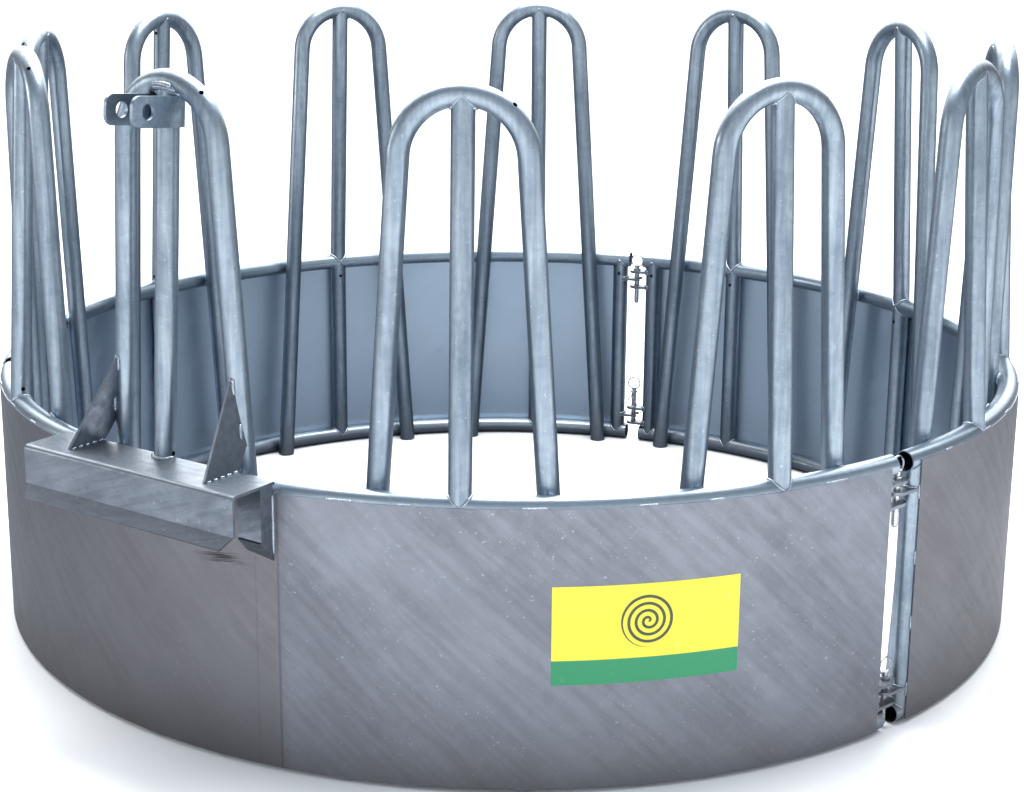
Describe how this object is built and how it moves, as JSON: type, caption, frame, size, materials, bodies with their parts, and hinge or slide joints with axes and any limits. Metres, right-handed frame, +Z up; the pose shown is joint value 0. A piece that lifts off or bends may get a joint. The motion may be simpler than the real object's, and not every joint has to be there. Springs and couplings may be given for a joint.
{
  "type": "round bale feeder",
  "caption": "Hot-dip galvanised ring feeder for round bales, with tombstone feed hoops, a pinned panel ring and a hitch for a tractor's three-point linkage.",
  "frame": {"origin": "on the floor under the middle of the whole object", "axes": "+Z up; the hitch points along -Y; the ring's own axis stands 45.5 mm from the origin along +Y"},
  "size_m": [2.0699, 2.161, 1.1448],
  "materials": {
    "galvanised_sheet": "satin galvanised",
    "galvanised_tube": "satin galvanised",
    "galvanised_plate": "satin galvanised",
    "zinc_hardware": "bright zinc"
  },
  "bodies": {
    "panel_a": {"a_skirt_sheet": "galvanised_sheet", "a_top_rail": "galvanised_tube", "a_bottom_rail": "galvanised_tube", "a_end_posts": "galvanised_tube", "a_rib_posts": "galvanised_tube", "a_hoop_1": "galvanised_tube", "a_hoop_2": "galvanised_tube", "a_hoop_3": "galvanised_tube", "a_hoop_4": "galvanised_tube", "a_centre_posts": "galvanised_tube", "a_clevis_lugs": "galvanised_plate", "a_tongue_lugs": "galvanised_plate", "hook_rail": "galvanised_plate", "rail_guide_right": "galvanised_plate", "rail_guide_left": "galvanised_plate", "gusset_right": "galvanised_plate", "gusset_left": "galvanised_plate", "top_link_bracket": "galvanised_plate"},
    "panel_b": {"b_skirt_sheet": "galvanised_sheet", "b_top_rail": "galvanised_tube", "b_bottom_rail": "galvanised_tube", "b_end_posts": "galvanised_tube", "b_rib_posts": "galvanised_tube", "b_hoop_1": "galvanised_tube", "b_hoop_2": "galvanised_tube", "b_hoop_3": "galvanised_tube", "b_hoop_4": "galvanised_tube", "b_centre_posts": "galvanised_tube", "b_clevis_lugs": "galvanised_plate", "b_tongue_lugs": "galvanised_plate"},
    "panel_c": {"c_skirt_sheet": "galvanised_sheet", "c_top_rail": "galvanised_tube", "c_bottom_rail": "galvanised_tube", "c_end_posts": "galvanised_tube", "c_rib_posts": "galvanised_tube", "c_hoop_1": "galvanised_tube", "c_hoop_2": "galvanised_tube", "c_hoop_3": "galvanised_tube", "c_hoop_4": "galvanised_tube", "c_centre_posts": "galvanised_tube", "c_clevis_lugs": "galvanised_plate", "c_tongue_lugs": "galvanised_plate"},
    "right_upper_pin": {"right_upper_pin": "zinc_hardware"},
    "right_upper_pull_ring": {"right_upper_pull_ring": "zinc_hardware"},
    "right_lower_pin": {"right_lower_pin": "zinc_hardware"},
    "right_lower_pull_ring": {"right_lower_pull_ring": "zinc_hardware"},
    "back_upper_pin": {"back_upper_pin": "zinc_hardware"},
    "back_upper_pull_ring": {"back_upper_pull_ring": "zinc_hardware"},
    "back_lower_pin": {"back_lower_pin": "zinc_hardware"},
    "back_lower_pull_ring": {"back_lower_pull_ring": "zinc_hardware"},
    "left_upper_pin": {"left_upper_pin": "zinc_hardware"},
    "left_upper_pull_ring": {"left_upper_pull_ring": "zinc_hardware"},
    "left_lower_pin": {"left_lower_pin": "zinc_hardware"},
    "left_lower_pull_ring": {"left_lower_pull_ring": "zinc_hardware"}
  },
  "joints": [
    {"name": "panel_b_swing", "type": "hinge", "parent": "panel_a", "child": "panel_b", "pos_m": [0.97935, -0.21692, 0.24], "axis": [0, 0, -1], "range_deg": [0, 70]},
    {"name": "panel_c_swing", "type": "hinge", "parent": "panel_a", "child": "panel_c", "pos_m": [-0.71694, -0.67144, 0.24], "axis": [0, 0, 1], "range_deg": [0, 70]},
    {"name": "right_upper_pin_lift", "type": "slide", "parent": "panel_a", "child": "right_upper_pin", "axis": [0, 0, 1], "range_m": [0, 0.1]},
    {"name": "right_upper_pull_ring_flip", "type": "hinge", "parent": "right_upper_pin", "child": "right_upper_pull_ring", "pos_m": [0.97935, -0.21692, 0.4663], "axis": [0.2588, 0.9659, 0], "range_deg": [-45, 45]},
    {"name": "right_lower_pin_lift", "type": "slide", "parent": "panel_a", "child": "right_lower_pin", "axis": [0, 0, 1], "range_m": [0, 0.1]},
    {"name": "right_lower_pull_ring_flip", "type": "hinge", "parent": "right_lower_pin", "child": "right_lower_pull_ring", "pos_m": [0.97935, -0.21692, 0.0993], "axis": [0.2588, 0.9659, 0], "range_deg": [-45, 45]},
    {"name": "back_upper_pin_lift", "type": "slide", "parent": "panel_b", "child": "back_upper_pin", "axis": [0, 0, 1], "range_m": [0, 0.1]},
    {"name": "back_upper_pull_ring_flip", "type": "hinge", "parent": "back_upper_pin", "child": "back_upper_pull_ring", "pos_m": [-0.26242, 1.02485, 0.4663], "axis": [-0.9659, -0.2588, 0], "range_deg": [-45, 45]},
    {"name": "back_lower_pin_lift", "type": "slide", "parent": "panel_b", "child": "back_lower_pin", "axis": [0, 0, 1], "range_m": [-0.038, 0.062]},
    {"name": "back_lower_pull_ring_flip", "type": "hinge", "parent": "back_lower_pin", "child": "back_lower_pull_ring", "pos_m": [-0.26242, 1.02485, 0.1373], "axis": [-0.9659, -0.2588, 0], "range_deg": [-45, 45]},
    {"name": "left_upper_pin_lift", "type": "slide", "parent": "panel_c", "child": "left_upper_pin", "axis": [0, 0, 1], "range_m": [0, 0.1]},
    {"name": "left_upper_pull_ring_flip", "type": "hinge", "parent": "left_upper_pin", "child": "left_upper_pull_ring", "pos_m": [-0.71694, -0.67144, 0.4663], "axis": [0.7071, -0.7071, 0], "range_deg": [-45, 45]},
    {"name": "left_lower_pin_lift", "type": "slide", "parent": "panel_c", "child": "left_lower_pin", "axis": [0, 0, 1], "range_m": [0, 0.1]},
    {"name": "left_lower_pull_ring_flip", "type": "hinge", "parent": "left_lower_pin", "child": "left_lower_pull_ring", "pos_m": [-0.71694, -0.67144, 0.0993], "axis": [0.7071, -0.7071, 0], "range_deg": [-45, 45]}
  ]
}
